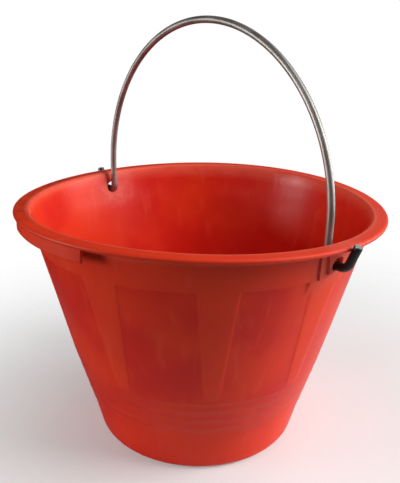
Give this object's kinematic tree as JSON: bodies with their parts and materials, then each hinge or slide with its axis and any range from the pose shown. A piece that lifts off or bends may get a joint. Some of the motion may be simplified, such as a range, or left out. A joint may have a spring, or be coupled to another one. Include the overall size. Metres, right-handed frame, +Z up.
{
  "type": "mortar bucket",
  "caption": "Tapered round plastic tub with a flanged rim, grip skirts and a swinging wire bail hooked through holes under the rim.",
  "frame": {"origin": "centre of the foot, on the surface the tub stands on", "axes": "+Z up through the mouth, X along the bail's pivot axis, Y towards the two grip skirts"},
  "size_m": [0.3362, 0.3199, 0.3668],
  "materials": {
    "tub_plastic": "satin moulded polyethylene",
    "wire_steel": "dull galvanised wire",
    "sleeve_plastic": "semi-gloss black tube"
  },
  "bodies": {
    "root": {"tub": "tub_plastic"},
    "bail": {"bail_wire": "wire_steel", "hook_sleeve_left": "sleeve_plastic", "hook_sleeve_right": "sleeve_plastic"}
  },
  "joints": [
    {"name": "bail_swing", "type": "hinge", "parent": "root", "child": "bail", "pos_m": [0, 0, 0.1959], "axis": [1, 0, 0], "range_deg": [-62, 62]}
  ]
}
